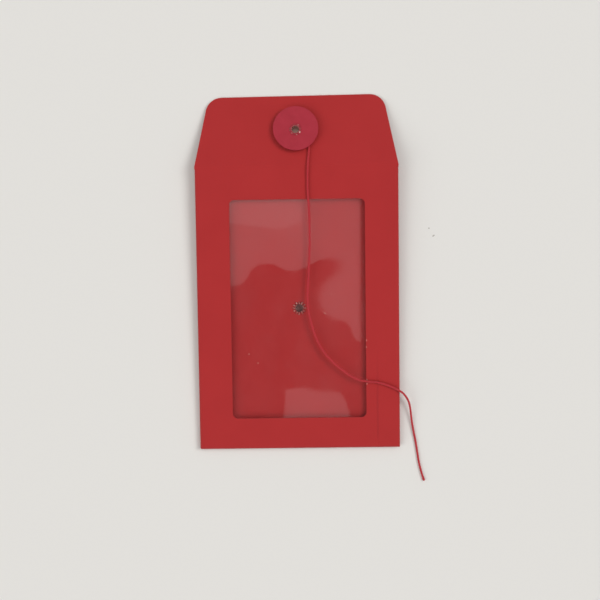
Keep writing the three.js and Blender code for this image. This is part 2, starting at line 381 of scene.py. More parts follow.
@dataclass(frozen=True)
class CardFinish:
    """Red card, dyed through: fine fibres, faint clouding, and painted shade in a faint groove over
    the tab's edge.
    """

    colour: Colour = linear(180, 45, 46)
    deep: Colour = linear(174, 42, 43)
    contrast: Span = (0.3, 0.75)
    clouds: Grain = Grain(70, 2)
    cloud_share: float = 0.45
    along: Grain = Grain(2600, 4, 0.6, (1.0, 0.35, 1.0))
    across: Grain = Grain(1700, 3, 0.6, (0.3, 1.0, 1.0))
    fibre_share: float = 0.6
    fibre_contrast: Span = (0.3, 0.7)
    roughness: Span = (0.67, 0.79)
    fibre_relief: Relief = Relief(0.022 * MM, 0.9)
    cloud_relief: Relief = Relief(0.10 * MM, 0.6)
    front: Span = (2.9 * MM, 3.0 * MM)
    nicked: Colour = linear(205, 104, 98)
    nicks: tuple[Point, ...] = (
        (27.1 * MM, -27.3 * MM, 0.55 * MM), (27.0 * MM, -30.0 * MM, 0.5 * MM),
        (27.0 * MM, -43.4 * MM, 0.7 * MM), (27.2 * MM, -44.9 * MM, 0.55 * MM),
    )
    nick_core: float = 0.4
    nick_grain: Grain = Grain(2600, 2)
    nick_edge: Span = (0.30, 0.45)
    # painted shade: the colour that the groove over the side tab's edge is darkened towards
    shaded: Colour = linear(138, 34, 38)
    shade: float = 0.28
    tab_edge: float = 31.75 * MM
    tab_edge_width: float = 0.75 * MM
    tab_edge_relief: Relief = Relief(0.09 * MM, 1.0)
    tab_edge_grain: Grain = Grain(160, 1)
    tab_edge_wander: float = 0.5 * MM
    groove_fades: Span = (-55 * MM, -25 * MM)

    def material(self) -> bpy.types.Material:
        """Builds the card's material.

        Returns:
            The material.
        """
        tree = Tree.material("red_card")
        place = tree.place()
        axes = tree.axes(place)
        clouds = tree.grain(place, self.clouds)
        fibres = tree.plus(tree.grain(place, self.along), tree.grain(place, self.across))
        fibres = tree.times(fibres, 0.5)
        tone = tree.plus(tree.times(clouds, self.cloud_share), tree.times(fibres, self.fibre_share))
        colour = tree.mix(Mix.COLOUR, tree.spread(tone, self.contrast), self.deep, self.colour)
        front = tree.spread(axes["Z"], self.front)
        colour = self._nicked(tree, place, front, colour)
        groove = self._groove(tree, axes["X"], axes["Y"])
        # painted shade: the card's colour is darkened in the groove over the tab's edge
        shaded = tree.times(tree.times(groove, front), -self.shade)
        normal = tree.bump(fibres, self.fibre_relief)
        normal = tree.bump(clouds, self.cloud_relief, normal)
        shader = tree.add("BsdfPrincipled", IOR=1.45, Specular_IOR_Level=0.35, Sheen_Weight=0.08,
                          Sheen_Roughness=0.5)
        return tree.surface(
            shader, Base_Color=tree.mix(Mix.COLOUR, shaded, colour, self.shaded),
            Roughness=tree.spread(fibres, self.fibre_contrast, self.roughness),
            Normal=tree.bump(groove, self.tab_edge_relief, normal))

    def _nicked(self, tree: Tree, place: Socket, front: Socket, colour: Socket) -> Socket:
        """Adds the pale nicks beside the window's right edge.

        Args:
            tree: the card's tree.
            place: the place on the card.
            front: 1 on the pocket's front and 0 below it.
            colour: the card's colour.

        Returns:
            The colour with the nicks.
        """
        ragged = tree.spread(tree.grain(place, self.nick_grain), self.nick_edge)
        for x, y, size in self.nicks:
            close = tree.near(place, (x, y, 0), (size * self.nick_core, size), flat=True)
            share = tree.times(tree.times(close, ragged), front)
            colour = tree.mix(Mix.COLOUR, share, colour, self.nicked)
        return colour

    def _groove(self, tree: Tree, x: Socket, y: Socket) -> Socket:
        """The faint groove over the side tab's edge, which fades out up the pocket; it is also the
        mask of the painted shade in the groove.

        Args:
            tree: the card's tree.
            x: the place across the card.
            y: the place along the card.

        Returns:
            Its height, from -1 in the groove to 0 beside it.
        """
        wander = tree.times(tree.grain(tree.place(), self.tab_edge_grain), self.tab_edge_wander)
        off = tree.maths(Step.ABSOLUTE, tree.less(tree.plus(x, wander), self.tab_edge))
        valley = tree.spread(off, (0.0, self.tab_edge_width))
        return tree.times(tree.less(valley, 1.0), tree.spread(y, self.groove_fades, (1.0, 0.0)))


@dataclass(frozen=True)
class FibreBoardFinish:
    """The crimson fibre board of the washers: denser and pinker than the card."""

    colour: Colour = linear(176, 46, 62)
    deep: Colour = linear(169, 42, 57)
    contrast: Span = (0.35, 0.65)
    weave: Grain = Grain(2200, 4, 0.65, (1.0, 0.5, 1.0))
    weave_contrast: Span = (0.3, 0.7)
    clouds: Grain = Grain(260, 2)
    roughness: Span = (0.56, 0.70)
    relief: Relief = Relief(0.03 * MM, 0.8)

    def material(self) -> bpy.types.Material:
        """Builds the washers' material.

        Returns:
            The material.
        """
        tree = Tree.material("fibre_board")
        place = tree.place()
        weave = tree.grain(place, self.weave)
        tone = tree.times(tree.plus(weave, tree.grain(place, self.clouds)), 0.5)
        return tree.surface(
            tree.add("BsdfPrincipled", IOR=1.47, Specular_IOR_Level=0.4),
            Base_Color=tree.mix(Mix.COLOUR, tree.spread(tone, self.contrast), self.deep,
                                self.colour),
            Roughness=tree.spread(weave, self.weave_contrast, self.roughness),
            Normal=tree.bump(weave, self.relief))


@dataclass(frozen=True)
class EyeletFinish:
    """Eyelet metal under a scuffed coat, with painted highlights as bright metal spots and as a
    paler lip round the bore, and a colour of its own in the bore.

    Each spot is a painted highlight, shown as bare metal, with its place off the centre and its
    radius, in millimetres. How far the bore's edge and the rim, which carries a painted highlight,
    reach is given in bore radii.
    """

    name: str
    coat: Colour
    centre: Point
    spots: tuple[Point, ...]
    # painted highlight on the bore's rounded lip
    lip_highlight: Colour = linear(172, 66, 74)
    # the default bore colour, used on the bare eyelet, is painted shade in the bore
    inside: Colour = linear(126, 78, 76)
    metal: Colour = linear(248, 200, 192)
    scratches: Grain = Grain(1500, 3, 0.7)
    wear_and_highlights: Span = (0.62, 0.68)
    shine: Span = (0.15, 0.45)
    inside_shine: float = 0.2
    roughness: float = 0.34
    uneven: Grain = Grain(5200, 2)
    uneven_share: float = 0.12
    relief: Relief = Relief(0.02 * MM, 0.5)
    bore: float = 1.45 * MM
    bore_edge: float = 1.05
    rim: Span = (1.1, 1.3)
    spot_core: float = 0.5

    def material(self) -> bpy.types.Material:
        """Builds the eyelet's material.

        Returns:
            The material.
        """
        tree = Tree.material(self.name)
        place = tree.place()
        scratches = tree.grain(place, self.scratches)
        bored = tree.near(place, self.centre, (self.bore, self.bore * self.bore_edge), flat=True)
        rim = tree.near(place, self.centre, (self.bore * self.rim[0], self.bore * self.rim[1]),
                        flat=True)
        wear_and_highlights = self._wear_and_highlights(tree, place, scratches, bored)
        colour = tree.mix(Mix.COLOUR, wear_and_highlights, self.coat, self.metal)
        # the rim gets a painted highlight, and the spots show as bare metal as painted highlights
        for share, over in ((rim, self.lip_highlight), (bored, self.inside), (wear_and_highlights, self.metal)):
            colour = tree.mix(Mix.COLOUR, share, colour, over)
        shine = tree.maths(Step.MAXIMUM, tree.spread(wear_and_highlights, (0.0, 1.0), self.shine),
                           tree.times(bored, self.inside_shine))
        rough = tree.times(tree.grain(place, self.uneven), self.uneven_share)
        return tree.surface(
            tree.add("BsdfPrincipled", IOR=1.5), Base_Color=colour, Metallic=shine,
            Roughness=tree.plus(rough, self.roughness),
            Normal=tree.bump(scratches, self.relief))

    def _wear_and_highlights(self, tree: Tree, place: Socket, scratches: Socket, bored: Socket) -> Socket:
        """Where bare metal shows: the coat's real scuffs, and the painted highlight spots.

        Args:
            tree: the eyelet's tree.
            place: the place on the eyelet.
            scratches: the noise of the scratches.
            bored: 1 in the bore and 0 outside it.

        Returns:
            The share of bare metal, real scuffs and painted highlights together.
        """
        wear_and_highlights = tree.times(tree.spread(scratches, self.wear_and_highlights), tree.less(1.0, bored))
        # each spot is a painted highlight, shown as bare metal
        for x, y, size in self.spots:
            middle = (self.centre[0] + x * MM, self.centre[1] + y * MM, 0)
            reach = (size * self.spot_core * MM, size * MM)
            spot = tree.near(place, middle, reach, flat=True)
            wear_and_highlights = tree.maths(Step.MAXIMUM, wear_and_highlights, spot)
        return wear_and_highlights


@dataclass(frozen=True)
class FilmFinish:
    """Clear glossy film with a faint haze."""

    tint: Colour = (0.995, 0.992, 0.992)
    milk: Colour = (0.8, 0.78, 0.77)
    smudges: Grain = Grain(95, 4, 0.6, (1.0, 0.6, 1.0))
    scuffs: Grain = Grain(2400, 2, stretch=(1.0, 0.12, 1.0))
    scuff_share: float = 0.4
    evened: float = 0.72
    haze_contrast: Span = (0.35, 0.75)
    haze: Span = (0.002, 0.010)
    gloss_contrast: Span = (0.35, 0.7)
    roughness: Span = (0.018, 0.045)

    def material(self) -> bpy.types.Material:
        """Builds the film's material, with faint smudges in its haze and its gloss.

        Returns:
            The material.
        """
        tree = Tree.material("clear_film")
        place = tree.place()
        scuffs = tree.times(tree.grain(place, self.scuffs), self.scuff_share)
        uneven = tree.times(tree.plus(tree.grain(place, self.smudges), scuffs), self.evened)
        clear = tree.add("BsdfTransparent", Color=(*self.tint, 1))
        milky = tree.add("BsdfDiffuse", Color=(*self.milk, 1))
        body = tree.layered(tree.spread(uneven, self.haze_contrast, self.haze),
                            clear.outputs[0], milky.outputs[0])
        gloss = tree.add("BsdfGlossy", Color=(1, 1, 1, 1))
        tree.link(tree.spread(uneven, self.gloss_contrast, self.roughness),
                  gloss.inputs["Roughness"])
        front = tree.less(1.0, tree.add("NewGeometry").outputs["Backfacing"])
        shine = tree.times(tree.add("Fresnel", IOR=1.5).outputs[0], front)
        return tree.finish(tree.layered(shine, body, gloss.outputs[0]))


@dataclass(frozen=True)
class WaxedStringFinish:
    """Dyed cotton under wax: a soft shine and small darker gaps between the fibres."""

    colour: Colour = linear(201, 52, 62)
    deep: Colour = linear(178, 40, 49)
    contrast: Span = (0.35, 0.65)
    fibres: Grain = Grain(6500, 3, 0.6)
    relief: Relief = Relief(0.02 * MM, 0.7)

    def material(self) -> bpy.types.Material:
        """Builds the string's material.

        Returns:
            The material.
        """
        tree = Tree.material("waxed_string")
        fibres = tree.grain(tree.place(), self.fibres)
        shader = tree.add("BsdfPrincipled", IOR=1.44, Roughness=0.5, Sheen_Weight=0.15,
                          Sheen_Roughness=0.4)
        return tree.surface(
            shader, Normal=tree.bump(fibres, self.relief),
            Base_Color=tree.mix(Mix.COLOUR, tree.spread(fibres, self.contrast), self.deep,
                                self.colour))


@dataclass(frozen=True)
class DustFinish:
    """Pale paper dust."""

    colour: Colour = linear(222, 158, 148)
    darker: float = 0.8
    grain: Grain = Grain(6000, 2)

    def material(self) -> bpy.types.Material:
        """Builds the dust's material.

        Returns:
            The material.
        """
        tree = Tree.material("paper_dust")
        darker = tuple(value * self.darker for value in self.colour)
        return tree.surface(
            tree.add("BsdfPrincipled", Roughness=0.85),
            Base_Color=tree.mix(Mix.COLOUR, tree.grain(tree.place(), self.grain), darker,
                                self.colour))


@dataclass(frozen=True)
class TableFinish:
    """The pale table: smooth board, three crumbs, painted shade under the pocket eyelet's bore and
    a painted glow under the flap eyelet's bore.
    """

    colour: Colour = linear(232, 230, 226)
    paler: float = 1.02
    grain: Grain = Grain(900, 3)
    crumb: Colour = linear(150, 140, 130)
    crumbs: tuple[Flat, ...] = ((53.0, 17.3), (54.6, 14.1), (55.0, 14.4))
    crumb_reach: Span = (0.1 * MM, 0.35 * MM)
    # painted shade on the table, seen through the pocket eyelet's bore
    bore_painted_shade: Colour = linear(193, 142, 137)
    bore_painted_shade_at: Flat = (0.4, -14.1)
    bore_painted_shade_reach: Span = (1.8 * MM, 2.6 * MM)
    # painted light: a faint glow on the table under the flap eyelet's bore
    lit: Colour = (0.165, 0.085, 0.065)
    lit_at: Flat = (-0.2, 55.9)
    lit_reach: Span = (0.6 * MM, 3.2 * MM)

    def material(self) -> bpy.types.Material:
        """Builds the table's material.

        Returns:
            The material.
        """
        tree = Tree.material("pale_table")
        place = tree.place()

        def around(spot: Flat, reach: Span) -> Socket:
            """How near the table's place is to a spot."""
            return tree.near(place, (spot[0] * MM, spot[1] * MM, 0), reach)

        paler = tuple(min(1.0, value * self.paler) for value in self.colour)
        colour = tree.mix(Mix.COLOUR, tree.grain(place, self.grain), self.colour, paler)
        for crumb in self.crumbs:
            colour = tree.mix(Mix.COLOUR, around(crumb, self.crumb_reach), colour, self.crumb)
        # mask of the painted shade under the pocket eyelet's bore
        under = around(self.bore_painted_shade_at, self.bore_painted_shade_reach)
        # the emission is painted light, a glow under the flap eyelet's bore
        shader = tree.add("BsdfPrincipled", IOR=1.4, Roughness=0.8, Specular_IOR_Level=0.2,
                          Emission_Color=(*self.lit, 1))
        return tree.surface(
            shader, Base_Color=tree.mix(Mix.COLOUR, under, colour, self.bore_painted_shade),
            Emission_Strength=around(self.lit_at, self.lit_reach))


def as_object(name: str, shape: bmesh.types.BMesh, material: bpy.types.Material,
              smooth: bool = True) -> bpy.types.Object:
    """Turns a bmesh into an object in the scene.

    Args:
        name: the object's name.
        shape: its mesh, which is freed.
        material: its one material.
        smooth: whether its faces are shaded smooth.

    Returns:
        The object.
    """
    bmesh.ops.recalc_face_normals(shape, faces=shape.faces)
    mesh = bpy.data.meshes.new(name)
    shape.to_mesh(mesh)
    shape.free()
    mesh.materials.append(material)
    for face in mesh.polygons:
        face.use_smooth = smooth
    made = bpy.data.objects.new(name, mesh)
    bpy.context.scene.collection.objects.link(made)
    return made


def dress(made: bpy.types.Object, material: bpy.types.Material, smooth_below: float) -> None:
    """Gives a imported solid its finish, and softens the facets of its curves.

    Args:
        made: the solid.
        material: its finish.
        smooth_below: faces that meet at less than this angle are shaded as one, in degrees.
    """
    made.data.materials.clear()
    made.data.materials.append(material)
    split = made.modifiers.new("soft_facets", "EDGE_SPLIT")
    split.split_angle = math.radians(smooth_below)
    for face in made.data.polygons:
        face.use_smooth = True
    LOG.info("%s: %s", made.name, material.name)


@dataclass
class Route:
    """A smooth line through given points, run as a centripetal Catmull-Rom curve."""

    stops: list[Vector]
    fineness: int = 24

    def _between(self, index: int, share: float) -> Vector:
        """The point at a share of the way from one stop to the next.

        Args:
            index: the stop that the stretch starts at.
            share: from 0 to 1.

        Returns:
            The point.
        """
        stops = self.stops
        second, third = stops[index], stops[index + 1]
        first = stops[index - 1] if index else second * 2 - third
        fourth = stops[index + 2] if index + 2 < len(stops) else third * 2 - second
        knots = [0.0]
        for start, end in ((first, second), (second, third), (third, fourth)):
            knots.append(knots[-1] + math.sqrt((end - start).length))
        at = knots[1] + (knots[2] - knots[1]) * share

        def mixed(start: Vector, end: Vector, low: int, high: int) -> Vector:
            """The point between two, by the knots that they belong to."""
            return start.lerp(end, (at - knots[low]) / (knots[high] - knots[low]))

        one = mixed(first, second, 0, 1)
        two = mixed(second, third, 1, 2)
        three = mixed(third, fourth, 2, 3)
        return mixed(mixed(one, two, 0, 2), mixed(two, three, 1, 3), 1, 2)

    def points(self, step: float) -> list[Vector]:
        """Points an even step apart along the line.

        Args:
            step: their distance in metres.

        Returns:
            The points.
        """
        fine = [self._between(index, part / self.fineness)
                for index in range(len(self.stops) - 1) for part in range(self.fineness)]
        fine.append(self.stops[-1].copy())
        total = sum((end - start).length for start, end in zip(fine, fine[1:]))
        count = max(2, round(total / step))
        wanted, walked, result = total / count, 0.0, [fine[0]]
        for start, end in zip(fine, fine[1:]):
            length = (end - start).length
            while walked + length >= wanted * len(result) and len(result) < count:
                result.append(start.lerp(end, (wanted * len(result) - walked) / length))
            walked += length
        result.append(fine[-1])
        return result


@dataclass
class TieString:
    """The closure's string: three twisted plies, tied round the flap's eyelet."""

    diameter: float = 0.9 * MM
    plies: int = 3
    ply_share: float = 0.62
    lay_length: float = 3.4 * MM
    step: float = 0.26 * MM
    sides: int = 8
    unevenness: float = 0.05
    uneven_step: float = 0.11
    uneven_apart: float = 7.3
    uneven_seed: float = 0.4
    tip_share: float = 0.45
    tip_rings: int = 2
    seal_swell: float = 0.5
    seal_length: float = 1.1 * MM
    section_turn: float = 0.7
    finish: WaxedStringFinish = field(default_factory=WaxedStringFinish)
    stops: tuple[Point, ...] = (
        (0.00131, 0.05456, 0.00433), (-0.00005, 0.05410, 0.00443), (-0.00145, 0.05440, 0.00436),
        (-0.00249, 0.05539, 0.00417), (-0.00284, 0.05676, 0.00389), (-0.00241, 0.05810, 0.00362),
        (-0.00132, 0.05903, 0.00343), (0.00011, 0.05925, 0.00339), (0.00144, 0.05871, 0.00350),
        (0.00228, 0.05757, 0.00373), (0.00400, 0.05305, 0.00464), (0.00510, 0.05002, 0.00525),
        (0.00480, 0.04609, 0.00604), (0.00450, 0.04241, 0.00677), (0.00435, 0.03681, 0.00651),
        (0.00440, 0.03132, 0.00636), (0.00475, 0.02583, 0.00592), (0.00495, 0.01683, 0.00555),
        (0.00480, 0.00884, 0.00533), (0.00425, -0.00116, 0.00505), (0.00380, -0.01016, 0.00479),
        (0.00425, -0.01585, 0.00463), (0.00660, -0.02495, 0.00438), (0.01010, -0.03185, 0.00418),
        (0.01370, -0.03595, 0.00407), (0.01700, -0.03885, 0.00399), (0.02040, -0.04145, 0.00396),
        (0.02420, -0.04325, 0.00424), (0.02760, -0.04396, 0.00427), (0.03090, -0.04425, 0.00424),
        (0.03370, -0.04495, 0.00422), (0.03650, -0.04595, 0.00419), (0.03940, -0.04735, 0.00418),
        (0.04160, -0.04879, 0.00400), (0.04290, -0.05039, 0.00340), (0.04400, -0.05239, 0.00265),
        (0.04465, -0.05489, 0.00200), (0.04505, -0.05779, 0.00145), (0.04545, -0.06109, 0.00100),
        (0.04610, -0.06489, 0.00065), (0.04690, -0.06909, 0.00050), (0.04760, -0.07369, 0.00050),
        (0.04830, -0.07809, 0.00050), (0.04925, -0.08199, 0.00050), (0.05030, -0.08529, 0.00050),
    )

    def build(self) -> bpy.types.Object:
        """Returns:
            The string.
        """
        line = Route([Vector(stop) for stop in self.stops]).points(self.step)
        shape = bmesh.new()
        for strand in self._strands(shape, line):
            self._skin(shape, strand)
        made = as_object("tie_string", shape, self.finish.material())
        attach(made, "root")
        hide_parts(Node.STRING.value)
        return made

    def _swell(self, index: int, count: int) -> float:
        """How thick a ply is: drawn in at both ends, and swollen at the sealed tip.

        Args:
            index: the ring, from the knot on.
            count: how many rings there are.

        Returns:
            The factor on its radius.
        """
        to_tip = count - 1 - index
        from_end = min(index, to_tip)
        drawn = 1.0
        if from_end < self.tip_rings:
            drawn = self.tip_share + (1 - self.tip_share) * math.sqrt(from_end / self.tip_rings)
        sealed = math.exp(-(to_tip * self.step / self.seal_length) ** 2)
        return min(1.0, drawn) * (1.0 + self.seal_swell * sealed)

    def _strands(self, shape: bmesh.types.BMesh,
                 line: list[Vector]) -> list[list[list[bmesh.types.BMVert]]]:
        """Sets out the rings of each ply round the string's centreline.

        Args:
            shape: the mesh that they go into.
            line: points along the centreline, an even step apart.

        Returns:
            For each ply, its rings.
        """
        ply = self.diameter / 2 * self.ply_share
        offset = self.diameter / 2 - ply
        side = Vector((0, 0, 1))
        strands: list[list[list[bmesh.types.BMVert]]] = [[] for _ in range(self.plies)]
        for i, middle in enumerate(line):
            along = (line[min(i + 1, len(line) - 1)] - line[max(i - 1, 0)]).normalized()
            side = (side - along * side.dot(along)).normalized()
            other = along.cross(side)
            swell = self._swell(i, len(line))
            for p, strand in enumerate(strands):
                turn = 2 * math.pi * (i * self.step / self.lay_length + p / self.plies)
                centre = middle + (side * math.cos(turn) + other * math.sin(turn)) * offset
                wander = noise.noise(Vector((i * self.uneven_step, p * self.uneven_apart,
                                             self.uneven_seed)))
                radius = ply * swell * (1.0 + self.unevenness * wander)
                ring = []
                for k in range(self.sides):
                    angle = 2 * math.pi * k / self.sides + turn * self.section_turn
                    out = side * math.cos(angle) + other * math.sin(angle)
                    ring.append(shape.verts.new(centre + out * radius))
                strand.append(ring)
        return strands

    def _skin(self, shape: bmesh.types.BMesh, strand: list[list[bmesh.types.BMVert]]) -> None:
        """Closes one ply's rings into a tube.

        Args:
            shape: the mesh.
            strand: the ply's rings.
        """
        for lower, upper in zip(strand, strand[1:]):
            for k in range(self.sides):
                n = (k + 1) % self.sides
                shape.faces.new((lower[k], lower[n], upper[n], upper[k]))
        shape.faces.new(list(reversed(strand[0])))
        shape.faces.new(strand[-1])


@dataclass
class PocketFrame:
    """The pocket's own frame: Y up its front from the bottom fold, Z out of its front."""

    lean: float = math.asin(FOLD_RISE / POCKET_HEIGHT)
    origin: Point = (0.0, -0.07105562, 0.00033237)

    def out(self, x: float, y: float, z: float) -> Vector:
        """A point of the pocket, given in millimetres, in the part's frame in metres."""
        turn = Matrix.Rotation(self.lean, 3, "X")
        return Vector(self.origin) + turn @ Vector((x, y, z)) * MM


@dataclass
class WindowFilm:
    """The clear film behind the window, with the slight ripple that such film has.

    Its sizes are in millimetres in the pocket's own frame. Each wave has its length across and
    along the film, its seed and its strength.
    """

    half_width: float = 30.5
    bottom: float = 9.1
    top: float = 104.1
    upper: float = FILM_TOP
    thickness: float = 0.12
    free_half_width: float = 27.0
    free_bottom: float = 12.6
    free_top: float = 100.6
    ripple: float = 0.004
    ripple_fade: float = 8
    waves: tuple[tuple[float, float, float, float], ...] = ((24, 30, 2.7, 1.0),
                                                            (11, 13, 9.1, 0.4))
    spacing: float = 1.6
    pocket: PocketFrame = field(default_factory=PocketFrame)
    finish: FilmFinish = field(default_factory=FilmFinish)

    def height(self, x: float, y: float) -> float:
        """How far the film is off its flat plane, in millimetres.

        Args:
            x: across the film.
            y: along the film.

        Returns:
            The height, which fades out towards the glued edge.
        """
        inside = min(self.free_half_width - abs(x), y - self.free_bottom, self.free_top - y)
        fade = min(1.0, max(0.0, inside / self.ripple_fade))
        wave = sum(strength * noise.noise(Vector((x / across, y / along, seed)))
                   for across, along, seed, strength in self.waves)
        return self.ripple * fade * wave

    def build(self) -> bpy.types.Object:
        """Builds the rippled sheet with two faces and an edge.

        Returns:
            The film.
        """
        shape = bmesh.new()
        columns = round(2 * self.half_width / self.spacing)
        rows = round((self.top - self.bottom) / self.spacing)
        upper, lower = (self._grid(shape, columns, rows, drop) for drop in (0.0, self.thickness))
        for j in range(rows):
            for i in range(columns):
                for grid, flip in ((upper, False), (lower, True)):
                    corners = [grid[j][i], grid[j][i + 1], grid[j + 1][i + 1], grid[j + 1][i]]
                    shape.faces.new(reversed(corners) if flip else corners)
        rim = [(0, i) for i in range(columns)] + [(j, columns) for j in range(rows)]
        rim += [(rows, i) for i in range(columns, 0, -1)] + [(j, 0) for j in range(rows, 0, -1)]
        for (a, b), (c, d) in zip(rim, rim[1:] + rim[:1]):
            shape.faces.new((lower[a][b], lower[c][d], upper[c][d], upper[a][b]))
        made = as_object("clear_window", shape, self.finish.material())
        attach(made, "root")
        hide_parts(Node.FILM.value)
        LOG.info("clear_window: %d faces", len(made.data.polygons))
        return made

    def _grid(self, shape: bmesh.types.BMesh, columns: int, rows: int,
              drop: float) -> list[list[bmesh.types.BMVert]]:
        """Sets out the points of one of the film's faces.

        Args:
            shape: the mesh that they go into.
            columns: how many squares there are across it.
            rows: how many squares there are along it.
            drop: how far the face lies below the film's upper one.

        Returns:
            The points, row by row.
        """
        grid = []
        for j in range(rows + 1):
            y = self.bottom + (self.top - self.bottom) * j / rows
            row = []
            for i in range(columns + 1):
                x = -self.half_width + 2 * self.half_width * i / columns
                place = self.pocket.out(x, y, self.upper - drop + self.height(x, y))
                row.append(shape.verts.new(place))
            grid.append(row)
        return grid


@dataclass
class DustFlecks:
    """The few specks of dust that lie on the film in the photograph.

    Each spot has its place and its radius in millimetres in the pocket's own frame.
    """

    spots: tuple[Point, ...] = ((13.2, 62.6, 0.24), (10.7, 55.0, 0.28), (-20.1, 38.8, 0.22),
                                (-16.5, 35.1, 0.26), (14.6, 63.4, 0.13), (9.8, 55.5, 0.12))
    film_top: float = FILM_TOP
    thickness: float = 0.07
    roughness: float = 0.35
    lumps: float = 1.9
    narrowest: float = 0.6
    pocket: PocketFrame = field(default_factory=PocketFrame)
    finish: DustFinish = field(default_factory=DustFinish)

    def build(self) -> bpy.types.Object:
        """Builds the flecks as small uneven grains half sunk in the film's face.

        Returns:
            The flecks.
        """
        shape = bmesh.new()
        for x, y, radius in self.spots:
            grain = bmesh.ops.create_icosphere(shape, subdivisions=2, radius=1.0)["verts"]
            stretch = random.uniform(self.narrowest, 1.0)
            turn = random.uniform(0, math.pi)
            for vert in grain:
                rough = 1 + self.roughness * noise.noise(vert.co * self.lumps + Vector((x, y, 0)))
                a, b = vert.co.x * radius * rough, vert.co.y * radius * rough * stretch
                vert.co = self.pocket.out(x + a * math.cos(turn) - b * math.sin(turn),
                                          y + a * math.sin(turn) + b * math.cos(turn),
                                          self.film_top + vert.co.z * self.thickness)
        made = as_object("dust_flecks", shape, self.finish.material())
        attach(made, "root")
        LOG.info("dust_flecks: %d grains", len(self.spots))
        return made


@dataclass
class FoldedCard:
    """The folded sheet, as packed, under its card finish."""

    smooth_below: float = 30
    finish: CardFinish = field(default_factory=CardFinish)

    def dress(self) -> None:
        """Gives the card its finish."""
        dress(solid(Node.CARD), self.finish.material(), self.smooth_below)


@dataclass
class WasherTie:
    """The two washers and their eyelets, as packed, under their finishes."""

    board_smooth_below: float = 30
    eyelet_smooth_below: float = 40
    board: FibreBoardFinish = field(default_factory=FibreBoardFinish)
    # the coated eyelet's spot and the bare eyelet's spots are painted highlights
    coated: EyeletFinish = EyeletFinish(
        "coated_eyelet", linear(160, 42, 54), (-0.2 * MM, 57.05 * MM, 0), ((1.80, -1.25, 0.42),),
        inside=linear(214, 176, 168), inside_shine=0.9)
    # the bare eyelet keeps the default bore colour: painted shade in its bore
    bare: EyeletFinish = EyeletFinish(
        "bare_eyelet", linear(176, 80, 74), (0.4 * MM, -14.078 * MM, 0),
        ((-2.45, 0.5, 0.42), (-2.2, -0.75, 0.42), (-0.9, 2.0, 0.34), (1.2, -1.5, 0.2)),
        lip_highlight=linear(170, 84, 78), wear_and_highlights=(0.55, 0.66))

    def dress(self) -> None:
        """Gives the four pieces their finishes."""
        board = self.board.material()
        for node in (Node.FLAP_WASHER, Node.POCKET_WASHER):
            dress(solid(node), board, self.board_smooth_below)
        for node, finish in ((Node.FLAP_EYELET, self.coated), (Node.POCKET_EYELET, self.bare)):
            dress(solid(node), finish.material(), self.eyelet_smooth_below)


@dataclass(frozen=True)
class Lamp:
    """One broad, far lamp that lights the whole table evenly.

    Its azimuth runs anticlockwise from the right and its elevation up from the table, both in
    degrees, as is how wide it looks. Its share is its part of the light on the table, where 1
    shows a colour as written.
    """

    name: str
    azimuth: float
    elevation: float
    spread: float
    share: float

    def hang(self) -> None:
        """Hangs the lamp."""
        data = bpy.data.lights.new(self.name, "SUN")
        data.angle = math.radians(self.spread)
        turn, rise = math.radians(self.azimuth), math.radians(self.elevation)
        data.energy = self.share * math.pi / math.sin(rise)
        made = bpy.data.objects.new(self.name, data)
        bpy.context.scene.collection.objects.link(made)
        place = Vector((math.cos(turn) * math.cos(rise), math.sin(turn) * math.cos(rise),
                        math.sin(rise)))
        made.rotation_euler = place.to_track_quat("Z", "Y").to_euler()
        made.visible_glossy = False


@dataclass(frozen=True)
class OverheadCard:
    """A glowing card that only gloss mirrors, shaped by its image on the flat film.

    Its outline is in the pocket's millimetres, its strength is 1 for white, and its rise is how
    far it hangs above the other cards. Where its edge fades out, its rim has points on the edge,
    each with the dark point past it.
    """

    name: str
    outline: tuple[Flat, ...]
    strength: float
    rise: float = 0.0
    rim: tuple[tuple[float, float, float, float], ...] = ()
    height: float = 0.70
    pocket: PocketFrame = field(default_factory=PocketFrame)

    def mirrored(self, eye: Point, x: float, y: float) -> Vector:
        """Where the film mirrors to, overhead, as the camera sees one point of it.

        Args:
            eye: where the camera stands.
            x: across the pocket, in millimetres.
            y: up the pocket, in millimetres.

        Returns:
            The point at the card's height.
        """
        point = self.pocket.out(x, y, FILM_TOP)
        normal = Vector((0, -math.sin(self.pocket.lean), math.cos(self.pocket.lean)))
        ray = (point - Vector(eye)).normalized()
        ray -= 2 * ray.dot(normal) * normal
        return point + ray * ((self.height - point.z) / ray.z) + Vector((0, 0, self.rise))

    def hang(self, eye: Point) -> None:
        """Hangs the card where the camera sees its image on the film.

        Args:
            eye: where the camera stands.
        """
        shape = bmesh.new()
        lit = shape.verts.layers.float.new("lit")

        def corner(x: float, y: float, share: float = 1.0) -> bmesh.types.BMVert:
            """A corner of the card.

            Args:
                x: its image across the pocket, in millimetres.
                y: its image up the pocket, in millimetres.
                share: how much it glows.

            Returns:
                The corner.
            """
            made = shape.verts.new(self.mirrored(eye, x, y))
            made[lit] = share
            return made

        shape.faces.new([corner(x, y) for x, y in self.outline])
        shape.normal_update()
        bmesh.ops.triangulate(shape, faces=shape.faces)
        edges = [(corner(x, y), corner(dark_x, dark_y, 0.0))
                 for x, y, dark_x, dark_y in self.rim]
        for (a, b), (c, d) in zip(edges, edges[1:]):
            shape.faces.new((a, b, d, c))
        made = as_object(self.name, shape, self._glow(), smooth=False)
        made.visible_camera = made.visible_diffuse = False
        made.visible_shadow = made.visible_transmission = False

    def _glow(self) -> bpy.types.Material:
        """Builds the card's material.

        Returns:
            The material.
        """
        tree = Tree.material(self.name)
        glow = tree.add("Emission", Strength=self.strength)
        if self.rim:
            share = tree.add("Attribute", attribute_name="lit").outputs["Fac"]
            tree.link(tree.times(share, self.strength), glow.inputs["Strength"])
        return tree.finish(glow.outputs[0])


